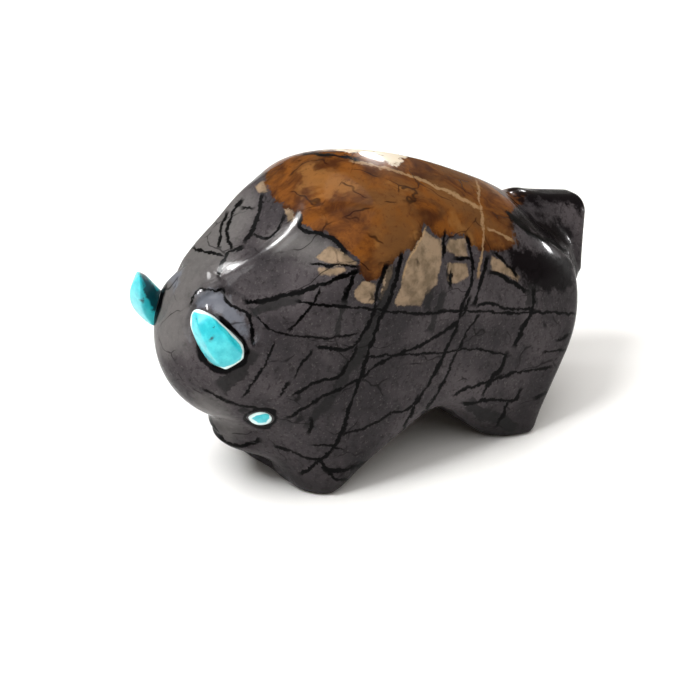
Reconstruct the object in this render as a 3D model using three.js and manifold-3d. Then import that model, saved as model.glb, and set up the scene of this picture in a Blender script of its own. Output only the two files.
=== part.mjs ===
// Carved stone bison with inlaid turquoise horns and eyes.
// Millimetres, +Z up. The head points to +X and the left side of the animal to +Y.
// The feet stand on z = 0, and the origin is under the middle of the whole carving.
import * as THREE from "three";
import Module from "manifold-3d";
import { mergeVertices } from "three/addons/utils/BufferGeometryUtils.js";

const { clamp, degToRad } = THREE.MathUtils;

// Driving sizes of the stone
const stoneLength = 48.8;
const stoneWidth = 20.8;
const stoneHeight = 29.9;

// Driving sizes of the inlays and of the glue line round them
const hornHalfWidth = 1.66;
const hornDome = 0.9;
const hornDepth = 1.9;
const eyeLength = 2.1;
const eyeHeight = 2.3;
const eyeDome = 0.35;
const eyeDepth = 0.8;
const glueGap = 0.3;

// The form is laid out in carving units, which the stone's own sizes turn into millimetres.
// Side outline, as points [x, z]: the back from the rump over the hump to the brow
const backLine = [
  [-27.2, 19.0], [-26.2, 21.4], [-23.4, 24.3], [-19.0, 27.7], [-14.0, 30.6], [-7.0, 34.0], [0.0, 36.4],
  [6.0, 36.7], [11.4, 34.2], [16.6, 30.5], [20.6, 27.2], [22.4, 23.0],
];
// and on down the chest, under both feet and the arch of the belly, and up the rump.
const underLine = [
  [20.8, 17.6], [19.0, 12.5], [17.1, 8.0], [16.3, 4.4], [15.0, 1.0], [12.6, -1.2], [10.0, -0.2],
  [7.0, 2.6], [3.0, 5.2], [-1.2, 6.9], [-4.6, 5.6], [-8.0, 2.4], [-11.5, -0.4], [-14.5, -2.0],
  [-16.8, -2.0], [-18.5, 2.6], [-22.4, 10.0], [-25.6, 15.4],
];
const stepsPerSpan = 4;

// Half width of the flanks along x, and the share of it that each foot loses, which grows downwards
const flankAlongX = [[-30, 10.6], [-26, 11.7], [-22, 12.3], [-16, 12.6], [-6, 12.6], [4, 12.5],
  [10, 12.0], [14, 11.1], [18, 9.4], [22, 7.4]];
const footNarrowing = [[-20, 0.05], [-8, 0.1], [10, 0.19]];
const narrowingOverZ = [[-3, 1.15], [0, 1], [5, 0.58], [12, 0.12], [20, 0]];
const flankRounding = 3.4;
// The top plate: its half width along x, how much wider each unit of depth makes the slope
// beside it, and how softly that slope runs into the flank
const plateAlongX = [[-30, 4.0], [-22, 4.4], [-10, 4.8], [0, 5.2], [8, 5.8], [15, 5.8], [19, 4.6],
  [22, 3.2], [24, 2.8]];
const spreadAlongX = [[-30, 1.3], [-24, 1.3], [-10, 1.25], [4, 1.15], [12, 1.0], [18, 0.85], [24, 0.85]];
const softAlongX = [[-30, 6.0], [-10, 7.0], [4, 6.0], [10, 3.5], [15, 1.2], [24, 0.8]];

// Round masses: centre, radii, turn about the cross axis in degrees, nose down
const skull = { centre: [18.0, 0, 18.8], radii: [9.5, 9.3, 9.9], turn: 0 };
const muzzle = { centre: [17.0, 0, 7.6], radii: [4.3, 4.8, 2.9], turn: 8 };
const hornPad = { centre: [21.5, 3.4, 21.2], radii: [4.5, 4.1, 5.0], turn: -10 };
// The tail, a short nub like a roof: centre, half sizes, the radius of its edges, its turn, the share
// of its length that it loses downwards, and the share of its width that it loses upwards
const tail = {
  centre: [-26.0, 0, 19.9], halves: [5.6, 7.6, 4.6], rounding: 1.8, turn: -15, taper: 0.6, roof: 0.7,
};
const blend = { head: 4.5, muzzle: 2.6, pad: 0.6, tail: 2.6, groove: 2.0, line: 0.9 };

// Grooves that part the legs at the front and at the back
const chestGroove = { from: [19.0, 0, -1], to: [15.0, 0, 7.0], radii: [3.6, 0.8] };
const rumpGroove = { from: [-21.5, 0, -1], to: [-25.6, 0, 9.0], radii: [3.2, 0.6] };
// Engraved lines: the crease round each horn pad, above its lower end, and the mouth
const padCrease = { growth: 0.5, radius: 0.6, fadeFrom: 20.5, fadeOver: 3.0 };
const mouth = { height: 6.8, radius: 0.5, start: 18.0, halfWidth: 5.4, fadeOver: 1.2 };

// The left horn's middle line: low end, middle and tip; and the side that its face looks to
const hornLine = [[24.2, 7.3, 19.8], [26.2, 6.9, 22.8], [27.3, 5.35, 26.25]];
const hornFacing = new THREE.Vector3(0.89, 0.45, -0.04);
// Shares of the horn's half width and depth along its line, from the low end to the tip,
// and the share of the line over which each end is rounded off
const hornTaper = [[0, 1.15], [0.2, 1.1], [0.45, 1.0], [0.7, 0.86], [1, 0.6]];
const hornThinning = [[0, 1.0], [0.4, 1.0], [0.75, 0.68], [1, 0.2]];
const hornEnds = { low: 0.18, tip: 0.21 };
const hornSteps = 14;
const hornSides = 18;

// The left eye lies where a line from inside the head, level across it, leaves the stone.
const eyeFrom = new THREE.Vector3(18.5, 0, 12.0);
const eyeTowards = new THREE.Vector3(0.26, 1, -0.06);
// How far its front point is turned down, in degrees
const eyeTurn = 16;
// How sharply the eye narrows to its front point, and its rings as shares of the dome and outline
const eyeNarrowing = 1.35;
const eyeRings = [[0, 1], [0.55, 0.75], [0.95, 0.4]];
const eyeSides = 20;

// How finely the stone's surface is meshed, and how it is probed, in carving units
const meshCell = 1.42;
const probeStep = 0.05;
const flattestSlope = 0.2;

const skullFront = skull.centre[0] + skull.radii[0];
const tailRear = tail.centre[0] - reachOf(tail);
const backTop = Math.max(...backLine.map(([, z]) => z));
const flankWidest = Math.max(...flankAlongX.map(([, half]) => half));
const mmPerUnit = new THREE.Vector3(
  stoneLength / (skullFront - tailRear),
  stoneWidth / (2 * flankWidest),
  stoneHeight / backTop,
);

const skyLine = curveThrough(backLine);
const flankHalf = curveThrough(flankAlongX);
const narrowingAt = curveThrough(footNarrowing);
const narrowingShare = curveThrough(narrowingOverZ);
const plateHalf = curveThrough(plateAlongX);
const plateSpread = curveThrough(spreadAlongX);
const plateSoft = curveThrough(softAlongX);
const outline = closedSpline([...backLine, ...underLine], stepsPerSpan);

// A smooth curve through points [t, value], held level beyond both ends
function curveThrough(points) {
  const last = points.length - 1;
  const slopeAt = (i) => {
    const [a, b] = [points[Math.max(i - 1, 0)], points[Math.min(i + 1, last)]];
    return (b[1] - a[1]) / (b[0] - a[0]);
  };
  return (value) => {
    const t = clamp(value, points[0][0], points[last][0]);
    let i = 0;
    while (i < last - 1 && t >= points[i + 1][0]) i += 1;
    const span = points[i + 1][0] - points[i][0];
    const u = (t - points[i][0]) / span;
    const [u2, u3] = [u * u, u * u * u];
    return (2 * u3 - 3 * u2 + 1) * points[i][1] + (u3 - 2 * u2 + u) * span * slopeAt(i)
      + (3 * u2 - 2 * u3) * points[i + 1][1] + (u3 - u2) * span * slopeAt(i + 1);
  };
}

// A closed smooth line through points [x, z]
function closedSpline(points, steps) {
  const places = points.map(([x, z]) => new THREE.Vector3(x, 0, z));
  const curve = new THREE.CatmullRomCurve3(places, true, "catmullrom");
  return curve.getPoints(points.length * steps).slice(0, -1);
}

// Distance from (x, z) to the side outline, negative inside it
function outlineDistance(x, z) {
  let nearest = Infinity;
  let inside = false;
  for (let i = 0, j = outline.length - 1; i < outline.length; j = i, i += 1) {
    const [a, b] = [outline[i], outline[j]];
    const [ex, ez, wx, wz] = [b.x - a.x, b.z - a.z, x - a.x, z - a.z];
    const t = clamp((wx * ex + wz * ez) / (ex * ex + ez * ez), 0, 1);
    nearest = Math.min(nearest, (wx - ex * t) ** 2 + (wz - ez * t) ** 2);
    if ((a.z > z) !== (b.z > z) && x < a.x + (ex * wz) / ez) inside = !inside;
  }
  return Math.sqrt(nearest) * (inside ? -1 : 1);
}

function smoothMin(a, b, k) {
  const h = clamp(0.5 + (0.5 * (b - a)) / k, 0, 1);
  return b * (1 - h) + a * h - k * h * (1 - h);
}

function smoothMax(a, b, k) {
  return -smoothMin(-a, -b, k);
}

// Both at once, with an edge rounded by a quarter circle of radius r
function roundedBoth(a, b, r) {
  return Math.min(Math.max(a, b) + r, 0) + Math.hypot(Math.max(a + r, 0), Math.max(b + r, 0)) - r;
}

// A place as seen from a mass's centre, along its own turned axes
function turned(x, y, z, { centre, turn }) {
  const angle = degToRad(turn);
  const [dx, dy, dz] = [x - centre[0], y - centre[1], z - centre[2]];
  const along = dx * Math.cos(angle) - dz * Math.sin(angle);
  return [along, dy, dx * Math.sin(angle) + dz * Math.cos(angle)];
}

function ellipsoid(x, y, z, mass, growth = 0) {
  const [along, dy, above] = turned(x, y, z, mass);
  const [rx, ry, rz] = mass.radii.map((radius) => radius + growth);
  const near = Math.hypot(along / rx, dy / ry, above / rz);
  const steep = Math.hypot(along / rx ** 2, dy / ry ** 2, above / rz ** 2);
  return (near * (near - 1)) / Math.max(steep, Number.EPSILON);
}

// A block with rounded edges, shorter towards its foot and narrower towards its top
function roundedBlock(x, y, z, mass) {
  const [long, wide, high] = mass.halves;
  const { rounding, taper, roof } = mass;
  const [along, dy, above] = turned(x, y, z, mass);
  const up = clamp(0.5 + above / (2 * high), 0, 1);
  const pairs = [[along, long * (1 - taper * (1 - up))], [dy, wide * (1 - roof * up)], [above, high]];
  const beyond = pairs.map(([value, half]) => Math.abs(value) - half + rounding);
  const outside = Math.hypot(...beyond.map((value) => Math.max(value, 0)));
  return outside + Math.min(Math.max(...beyond), 0) - rounding;
}

// How far a turned block with rounded edges reaches along x from its centre
function reachOf({ halves, rounding, turn }) {
  const angle = degToRad(turn);
  const [long, , high] = halves.map((half) => half - rounding);
  return long * Math.cos(angle) + high * Math.abs(Math.sin(angle)) + rounding;
}

// A round rod whose radius changes evenly from one end to the other
function taperedRod(x, y, z, { from, to, radii }) {
  const axis = to.map((value, i) => value - from[i]);
  const offset = [x - from[0], y - from[1], z - from[2]];
  const length2 = axis[0] ** 2 + axis[1] ** 2 + axis[2] ** 2;
  const t = clamp((offset[0] * axis[0] + offset[1] * axis[1] + offset[2] * axis[2]) / length2, 0, 1);
  const away = Math.hypot(...offset.map((value, i) => value - axis[i] * t));
  return away - (radii[0] + (radii[1] - radii[0]) * t);
}

// The trunk: side outline and flanks, with the slopes beside the top plate cut off them
function trunk(x, y, z) {
  const slope = (skyLine(x + probeStep) - skyLine(x - probeStep)) / (2 * probeStep);
  const depth = (skyLine(x) - z) / Math.hypot(1, slope);
  const spread = plateSpread(x);
  const slopeSide = (y - plateHalf(x) - spread * depth) / Math.hypot(1, spread);
  const flank = y - flankHalf(x) * (1 - narrowingAt(x) * narrowingShare(z));
  return smoothMax(roundedBoth(outlineDistance(x, z), flank, flankRounding), slopeSide, plateSoft(x));
}

// The form with a line engraved in it, which leaves the form alone where its share is 0
function engraved(form, toLine, radius, share) {
  return smoothMax(form, (radius + blend.line) * share - blend.line - toLine, blend.line);
}

// The stone's form as a field, negative inside the stone, in carving units
function stoneField(x, side, z) {
  const y = Math.abs(side);
  let form = smoothMin(ellipsoid(x, y, z, skull), ellipsoid(x, y, z, muzzle), blend.muzzle);
  form = smoothMin(trunk(x, y, z), form, blend.head);
  form = smoothMin(form, ellipsoid(x, y, z, hornPad), blend.pad);
  form = smoothMin(form, roundedBlock(x, y, z, tail), blend.tail);
  form = smoothMax(form, -taperedRod(x, y, z, chestGroove), blend.groove);
  form = smoothMax(form, -taperedRod(x, y, z, rumpGroove), blend.groove);

  const creaseShare = clamp((z - padCrease.fadeFrom) / padCrease.fadeOver, 0, 1);
  const toCrease = Math.hypot(form, ellipsoid(x, y, z, hornPad, padCrease.growth));
  form = engraved(form, toCrease, padCrease.radius, creaseShare);
  const mouthLength = clamp((x - mouth.start) / mouth.fadeOver, 0, 1);
  const mouthBreadth = clamp((mouth.halfWidth - y) / mouth.fadeOver, 0, 1);
  return engraved(form, Math.hypot(form, z - mouth.height), mouth.radius, mouthLength * mouthBreadth);
}

function slopeOf(field, point) {
  const { x, y, z } = point;
  return new THREE.Vector3(
    field(x + probeStep, y, z) - field(x - probeStep, y, z),
    field(x, y + probeStep, z) - field(x, y - probeStep, z),
    field(x, y, z + probeStep) - field(x, y, z - probeStep),
  ).divideScalar(2 * probeStep);
}

// Moves a point along the field's slope until it lies on the surface
function settle(field, point, rounds = 3) {
  const farthest = meshCell / 3;
  for (let round = 0; round < rounds; round += 1) {
    const slope = slopeOf(field, point);
    const away = field(point.x, point.y, point.z) / Math.max(slope.lengthSq(), flattestSlope);
    point.addScaledVector(slope, -clamp(away, -farthest, farthest));
  }
  return point;
}

// One closed mesh of a field's surface: a point in each crossed cell, a quad over each crossed edge
function surfaceOf(field, low, high, cell) {
  const count = high.clone().sub(low).divideScalar(cell).ceil().addScalar(1);
  const [nx, ny, nz] = [count.x, count.y, count.z];
  const at = (i, j, k) => (i * ny + j) * nz + k;
  const values = new Float64Array(nx * ny * nz);
  for (let i = 0; i < nx; i += 1) {
    for (let j = 0; j < ny; j += 1) {
      for (let k = 0; k < nz; k += 1) {
        values[at(i, j, k)] = field(low.x + i * cell, low.y + j * cell, low.z + k * cell);
      }
    }
  }
  const positions = [];
  const vertexOf = new Map();
  const corners = [0, 1, 2, 3, 4, 5, 6, 7].map((n) => [n & 1, (n >> 1) & 1, (n >> 2) & 1]);
  const edges = corners.flatMap((_, p) => [1, 2, 4].filter((bit) => !(p & bit)).map((bit) => [p, p | bit]));
  for (let i = 0; i < nx - 1; i += 1) {
    for (let j = 0; j < ny - 1; j += 1) {
      for (let k = 0; k < nz - 1; k += 1) {
        const held = corners.map(([a, b, c]) => values[at(i + a, j + b, k + c)]);
        const crossed = edges.filter(([p, q]) => (held[p] < 0) !== (held[q] < 0));
        if (crossed.length === 0) continue;
        const point = new THREE.Vector3();
        crossed.forEach(([p, q]) => {
          const t = held[p] / (held[p] - held[q]);
          point.add(new THREE.Vector3(...corners[p]).lerp(new THREE.Vector3(...corners[q]), t));
        });
        point.divideScalar(crossed.length).add(new THREE.Vector3(i, j, k)).multiplyScalar(cell).add(low);
        vertexOf.set(at(i, j, k), positions.length / 3);
        positions.push(...settle(field, point));
      }
    }
  }
  const index = [];
  const addQuad = (around, flip) => {
    const [a, b, c, d] = around.map((key) => vertexOf.get(key));
    index.push(...(flip ? [a, c, b, a, d, c] : [a, b, c, a, c, d]));
  };
  for (let i = 1; i < nx - 1; i += 1) {
    for (let j = 1; j < ny - 1; j += 1) {
      for (let k = 1; k < nz - 1; k += 1) {
        const inside = values[at(i, j, k)] < 0;
        if (inside !== values[at(i + 1, j, k)] < 0) {
          addQuad([at(i, j - 1, k - 1), at(i, j, k - 1), at(i, j, k), at(i, j - 1, k)], !inside);
        }
        if (inside !== values[at(i, j + 1, k)] < 0) {
          addQuad([at(i - 1, j, k - 1), at(i - 1, j, k), at(i, j, k), at(i, j, k - 1)], !inside);
        }
        if (inside !== values[at(i, j, k + 1)] < 0) {
          addQuad([at(i - 1, j - 1, k), at(i, j - 1, k), at(i, j, k), at(i - 1, j, k)], !inside);
        }
      }
    }
  }
  return indexedGeometry(positions, index);
}

function indexedGeometry(positions, index) {
  const geometry = new THREE.BufferGeometry();
  geometry.setAttribute("position", new THREE.Float32BufferAttribute(positions, 3));
  geometry.setIndex(index);
  return geometry;
}

// A closed skin over rings of points, each with a middle point to close the two ends
function skinOf(rings, firstMiddle, lastMiddle) {
  const sides = rings[0].length;
  const points = [firstMiddle, ...rings.flat(), lastMiddle];
  const at = (ring, side) => 1 + ring * sides + (side % sides);
  const index = [];
  for (let side = 0; side < sides; side += 1) {
    index.push(0, at(0, side + 1), at(0, side));
    index.push(points.length - 1, at(rings.length - 1, side), at(rings.length - 1, side + 1));
    for (let ring = 0; ring < rings.length - 1; ring += 1) {
      index.push(at(ring, side), at(ring, side + 1), at(ring + 1, side + 1));
      index.push(at(ring, side), at(ring + 1, side + 1), at(ring + 1, side));
    }
  }
  return indexedGeometry(points.flatMap((point) => point.toArray()), index);
}

function inMillimetres(point) {
  return point.clone().multiply(mmPerUnit);
}

// How wide the horn is at a place on its line, as a share, where its two ends are rounded off
function endRounding(u) {
  const [before, after] = [1 - u / hornEnds.low, 1 - (1 - u) / hornEnds.tip];
  return Math.sqrt((1 - Math.max(before, 0) ** 2) * (1 - Math.max(after, 0) ** 2));
}

// Left horn: a blade with a domed face and a deep round back, thin at its tip.
// The gap grows it on every side, which gives its pocket.
function hornGeometry(gap) {
  const [low, middle, tip] = hornLine.map((place) => inMillimetres(new THREE.Vector3(...place)));
  const control = middle.multiplyScalar(2).addScaledVector(low, -0.5).addScaledVector(tip, -0.5);
  const line = new THREE.QuadraticBezierCurve3(low, control, tip);
  const taper = curveThrough(hornTaper);
  const thinning = curveThrough(hornThinning);
  const rings = [];
  for (let step = 1; step < hornSteps; step += 1) {
    const u = (1 - Math.cos((Math.PI * step) / hornSteps)) / 2;
    const round = endRounding(u);
    const along = line.getTangent(u);
    const out = hornFacing.clone().addScaledVector(along, -hornFacing.dot(along)).normalize();
    const across = new THREE.Vector3().crossVectors(out, along);
    const half = hornHalfWidth * round * taper(u) + gap;
    const dome = hornDome * round * thinning(u) + gap;
    const depth = hornDepth * round * thinning(u) + gap;
    const middlePoint = line.getPoint(u).addScaledVector(along, gap * (2 * u - 1));
    const ring = [];
    for (let side = 0; side < hornSides; side += 1) {
      const angle = (2 * Math.PI * side) / hornSides;
      const sideways = half * Math.cos(angle);
      const rise = Math.sin(angle) * (Math.sin(angle) > 0 ? dome : depth);
      ring.push(middlePoint.clone().addScaledVector(across, sideways).addScaledVector(out, rise));
    }
    rings.push(ring);
  }
  const endAt = (u, reach) => line.getPoint(u).addScaledVector(line.getTangent(u), reach);
  return skinOf(rings, endAt(0, -gap), endAt(1, gap));
}

// Left eye: an almond cabochon, square to the stone, pointed towards the muzzle
function eyeGeometry(gap) {
  const seat = eyeFrom.clone();
  const stride = eyeTowards.clone().setLength(probeStep);
  while (stoneField(seat.x, seat.y, seat.z) < 0) seat.add(stride);
  settle(stoneField, seat);
  const out = slopeOf(stoneField, seat).divide(mmPerUnit).normalize();
  const forward = new THREE.Vector3(1, 0, 0).addScaledVector(out, -out.x).normalize();
  const turn = THREE.MathUtils.degToRad(eyeTurn);
  const lengthways = forward.clone().applyAxisAngle(out, turn);
  const crossways = new THREE.Vector3().crossVectors(out, lengthways);
  const centre = inMillimetres(seat);
  const middleAt = (height) => centre.clone().addScaledVector(out, height);
  const ringAt = (height, scale) => {
    const ring = [];
    for (let side = 0; side < eyeSides; side += 1) {
      const angle = (2 * Math.PI * side) / eyeSides;
      const rise = Math.sin(angle);
      const narrowed = Math.cos(angle) > 0 ? Math.sign(rise) * Math.abs(rise) ** eyeNarrowing : rise;
      const along = (eyeLength / 2 + gap) * Math.cos(angle) * scale;
      const above = (eyeHeight / 2 + gap) * narrowed * scale;
      ring.push(middleAt(height).addScaledVector(lengthways, along).addScaledVector(crossways, above));
    }
    return ring;
  };
  const floor = -eyeDepth - gap;
  const rings = eyeRings.map(([rise, scale]) => ringAt((eyeDome + gap) * rise, scale));
  return skinOf([ringAt(floor, 1), ...rings], middleAt(floor), middleAt(eyeDome + gap));
}

// The same piece on the other side of the animal
function mirrored(geometry) {
  const copy = geometry.clone().scale(1, -1, 1);
  const { array } = copy.index;
  for (let i = 0; i < array.length; i += 3) [array[i], array[i + 1]] = [array[i + 1], array[i]];
  return copy;
}

const wasm = await Module();
wasm.setup();

function solidOf(geometry) {
  const bare = geometry.clone();
  bare.deleteAttribute("normal");
  bare.deleteAttribute("uv");
  const merged = mergeVertices(bare);
  return new wasm.Manifold(new wasm.Mesh({
    numProp: 3,
    vertProperties: merged.attributes.position.array,
    triVerts: Uint32Array.from(merged.index.array),
  }));
}

function geometryOf(solid) {
  const { vertProperties, triVerts } = solid.getMesh();
  return indexedGeometry(Array.from(vertProperties), Array.from(triVerts));
}

// The block below the ground plane, which cuts the feet flat
function groundBlock() {
  const reach = 2 * stoneLength;
  return new THREE.BoxGeometry(reach, reach, reach).translate(0, 0, -reach / 2);
}

// The stone, meshed on a grid that is even about the middle plane, less the ground and the pockets
function stoneGeometry(pockets) {
  const margin = 2 * meshCell;
  const outlineBox = new THREE.Box3().setFromPoints(outline);
  const halfRows = Math.ceil((flankWidest + margin) / meshCell) + 0.5;
  const low = new THREE.Vector3(tailRear - margin, -halfRows * meshCell, outlineBox.min.z - margin);
  const high = new THREE.Vector3(skullFront + margin, halfRows * meshCell, backTop + margin);
  const skin = solidOf(surfaceOf(stoneField, low, high, meshCell).scale(...mmPerUnit));
  const cuts = [groundBlock(), ...pockets].map(solidOf);
  return geometryOf(cuts.reduce((left, cut) => left.subtract(cut), skin));
}

function meshOf(name, geometry, material) {
  const mesh = new THREE.Mesh(geometry, material);
  mesh.name = name;
  return mesh;
}

const polishedStone = new THREE.MeshStandardMaterial({ color: "#45403d", roughness: 0.22, metalness: 0 });
const turquoise = new THREE.MeshStandardMaterial({ color: "#3cc6cf", roughness: 0.35, metalness: 0 });

const hornPocket = hornGeometry(glueGap);
const eyePocket = eyeGeometry(glueGap);
const pockets = [hornPocket, mirrored(hornPocket), eyePocket, mirrored(eyePocket)];

const bison = new THREE.Group();
bison.add(meshOf("stone_body", stoneGeometry(pockets), polishedStone));
bison.add(meshOf("left_horn", hornGeometry(0), turquoise));
bison.add(meshOf("right_horn", mirrored(hornGeometry(0)), turquoise.clone()));
bison.add(meshOf("left_eye", eyeGeometry(0), turquoise.clone()));
bison.add(meshOf("right_eye", mirrored(eyeGeometry(0)), turquoise.clone()));

// The whole carving is moved so that the origin lies under the middle of its box.
const box = new THREE.Box3().setFromObject(bison);
bison.position.x = -(box.min.x + box.max.x) / 2;

export default bison;
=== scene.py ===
# Looks of the carved stone bison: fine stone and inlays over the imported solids, in metres.
# The head points to +X, the left side of the animal to +Y, and the feet stand on z = 0.
import math

import bpy
import numpy as np
from mathutils import Matrix, Vector
from mathutils.kdtree import KDTree


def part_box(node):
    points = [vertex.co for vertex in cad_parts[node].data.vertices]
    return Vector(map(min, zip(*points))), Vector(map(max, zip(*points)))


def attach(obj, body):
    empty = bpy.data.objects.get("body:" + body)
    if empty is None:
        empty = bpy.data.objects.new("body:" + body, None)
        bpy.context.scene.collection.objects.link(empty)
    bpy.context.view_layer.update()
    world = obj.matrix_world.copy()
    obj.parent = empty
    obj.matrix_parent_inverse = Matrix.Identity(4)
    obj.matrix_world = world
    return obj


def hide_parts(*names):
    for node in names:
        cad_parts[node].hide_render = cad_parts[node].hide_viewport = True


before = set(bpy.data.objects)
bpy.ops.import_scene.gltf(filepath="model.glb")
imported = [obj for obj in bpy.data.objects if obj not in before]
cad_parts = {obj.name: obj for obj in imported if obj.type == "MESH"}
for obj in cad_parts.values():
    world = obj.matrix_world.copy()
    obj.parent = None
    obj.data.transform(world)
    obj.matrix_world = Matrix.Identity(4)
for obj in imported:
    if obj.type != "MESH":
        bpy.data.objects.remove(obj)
bpy.context.view_layer.update()
scene = bpy.context.scene

MM = 0.001

# Sizes of the stone and of the inlays, in metres, as in the solids
STONE_LENGTH = 48.8 * MM
STONE_WIDTH = 20.8 * MM
STONE_HEIGHT = 29.9 * MM
HORN_HALF_WIDTH = 1.66 * MM
HORN_DOME = 1.1 * MM
HORN_DEPTH = 1.9 * MM
EYE_LENGTH = 2.1 * MM
EYE_HEIGHT = 2.3 * MM
EYE_DOME = 0.38 * MM
EYE_DEPTH = 0.8 * MM
GLUE_WIDTH = 0.2 * MM

# The stone's outline from the side, as (x, z), in the carving units of the solids
BACK_LINE = [(-27.2, 19.0), (-26.2, 21.4), (-23.4, 24.3), (-19.0, 27.7), (-14.0, 30.6), (-7.0, 34.0),
             (0.0, 36.4), (6.0, 36.7), (11.4, 34.2), (16.6, 30.5), (20.6, 27.2), (22.4, 23.0)]
UNDER_LINE = [(20.8, 17.6), (19.0, 12.5), (17.1, 8.0), (16.3, 4.4), (15.0, 1.0), (12.6, -1.2),
              (10.0, -0.2), (7.0, 2.6), (3.0, 5.2), (-1.2, 6.9), (-4.6, 5.6), (-8.0, 2.4),
              (-11.5, -0.4), (-14.5, -2.0), (-16.8, -2.0), (-18.5, 2.6), (-22.4, 10.0), (-25.6, 15.4)]
STEPS_PER_SPAN = 8

# Half widths of the flanks along x, and how the feet narrow them, along x and over the height
FLANK_ALONG_X = [(-30, 10.6), (-26, 11.7), (-22, 12.3), (-16, 12.6), (-6, 12.6), (4, 12.5),
                 (10, 12.0), (14, 11.1), (18, 9.4), (22, 7.4)]
FOOT_NARROWING = [(-20, 0.05), (-8, 0.1), (10, 0.19)]
NARROWING_OVER_Z = [(-3, 1.15), (0, 1.0), (5, 0.58), (12, 0.12), (20, 0)]
FLANK_ROUNDING = 3.4

# The plate along the back: its half width, how far its sides spread with depth, and how softly they cut
PLATE_ALONG_X = [(-30, 4.0), (-22, 4.4), (-10, 4.8), (0, 5.2), (8, 5.8), (15, 5.8), (19, 4.6),
                 (22, 3.2), (24, 2.8)]
SPREAD_ALONG_X = [(-30, 1.3), (-24, 1.3), (-10, 1.25), (4, 1.15), (12, 1.0), (18, 0.85), (24, 0.85)]
SOFT_ALONG_X = [(-30, 6.0), (-10, 7.0), (4, 6.0), (10, 3.5), (15, 1.2), (24, 0.8)]

# Round masses, with turns in degrees, and how softly each joins the rest
SKULL = {"centre": (18.0, 0, 18.8), "radii": (9.5, 9.3, 9.9), "turn": 0}
MUZZLE = {"centre": (17.0, 0, 7.6), "radii": (4.3, 4.8, 2.9), "turn": 8}
HORN_PAD = {"centre": (21.5, 3.4, 21.2), "radii": (4.5, 4.1, 5.0), "turn": -10}
TAIL = {"centre": (-26.0, 0, 19.9), "halves": (5.6, 7.6, 4.6), "rounding": 1.8, "turn": -15,
        "taper": 0.6, "roof": 0.7}
BLEND = {"head": 4.5, "muzzle": 2.6, "pad": 0.5, "tail": 2.6, "groove": 2.0, "line": 0.35, "foot": 0.7}

# Grooves that part the legs, the crease round each horn pad and the mouth
CHEST_GROOVE = {"from": (19.0, 0, -1), "to": (15.0, 0, 7.0), "radii": (3.6, 0.8)}
RUMP_GROOVE = {"from": (-21.5, 0, -1), "to": (-25.6, 0, 9.0), "radii": (3.2, 0.6)}
PAD_CREASE = {"growth": 0.35, "radius": 0.42, "fade_from": 19.5, "fade_over": 3.0}
MOUTH = {"height": 6.8, "radius": 0.36, "start": 18.0, "half_width": 5.4, "fade_over": 1.2}

# The mesh: its cells, the room round it, and how its points are brought to the surface
MESH_CELL = 0.32
MESH_MARGIN = 3 * MESH_CELL
PROBE_STEP = 0.05
SETTLE_ROUNDS = 3
SETTLE_REACH = MESH_CELL / 3
FLATTEST_SLOPE = 0.2

# The left horn's middle line, the way its face looks, and its width and thickness along the line
HORN_LINE = [(24.2, 7.3, 19.8), (26.2, 6.9, 22.8), (27.3, 5.35, 26.25)]
HORN_FACING = (0.89, 0.45, -0.04)
HORN_TAPER = [(0, 1.15), (0.2, 1.1), (0.45, 1.0), (0.7, 0.86), (1, 0.6)]
HORN_THINNING = [(0, 1.0), (0.4, 1.0), (0.75, 0.68), (1, 0.2)]
HORN_ENDS = {"low": 0.18, "tip": 0.21}
HORN_KEEL = 0.75
HORN_RINGS = 56
HORN_SIDES = 64

# The left eye is looked for from a place inside the head; its front point turns down, in degrees
EYE_FROM = (18.5, 0, 12.0)
EYE_TOWARDS = (0.26, 1, -0.06)
EYE_TURN = 16
EYE_NARROWING = 1.35
EYE_RINGS = 12
EYE_SIDES = 64


def reach_of(block):
    """How far a turned block with rounded edges reaches along x from its centre."""
    angle = math.radians(block["turn"])
    long, _, high = (half - block["rounding"] for half in block["halves"])
    return long * math.cos(angle) + high * abs(math.sin(angle)) + block["rounding"]


# Named places that the sizes above give
TAIL_REAR = TAIL["centre"][0] - reach_of(TAIL)
SKULL_FRONT = SKULL["centre"][0] + SKULL["radii"][0]
BACK_TOP = max(z for _, z in BACK_LINE)
FLANK_WIDEST = max(half for _, half in FLANK_ALONG_X)
UNIT = np.array([
    STONE_LENGTH / (SKULL_FRONT - TAIL_REAR),
    STONE_WIDTH / (2 * FLANK_WIDEST),
    STONE_HEIGHT / BACK_TOP,
])
SHIFT = np.array([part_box("stone_body")[1][0] - SKULL_FRONT * UNIT[0], 0, 0])


def in_metres(points):
    return points * UNIT + SHIFT


def direction(vector):
    return vector / np.linalg.norm(vector)


# Curves and fields of the form


def curve_through(points, t):
    """A smooth curve through (t, value) points, held level beyond both ends."""
    at, values = np.array(points, float).T
    slopes = np.empty_like(values)
    slopes[1:-1] = (values[2:] - values[:-2]) / (at[2:] - at[:-2])
    slopes[0] = (values[1] - values[0]) / (at[1] - at[0])
    slopes[-1] = (values[-1] - values[-2]) / (at[-1] - at[-2])
    t = np.clip(t, at[0], at[-1])
    i = np.clip(np.searchsorted(at, t, side="right") - 1, 0, len(at) - 2)
    span = at[i + 1] - at[i]
    u = (t - at[i]) / span
    u2, u3 = u * u, u * u * u
    return ((2 * u3 - 3 * u2 + 1) * values[i] + (u3 - 2 * u2 + u) * span * slopes[i]
            + (3 * u2 - 2 * u3) * values[i + 1] + (u3 - u2) * span * slopes[i + 1])


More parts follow.
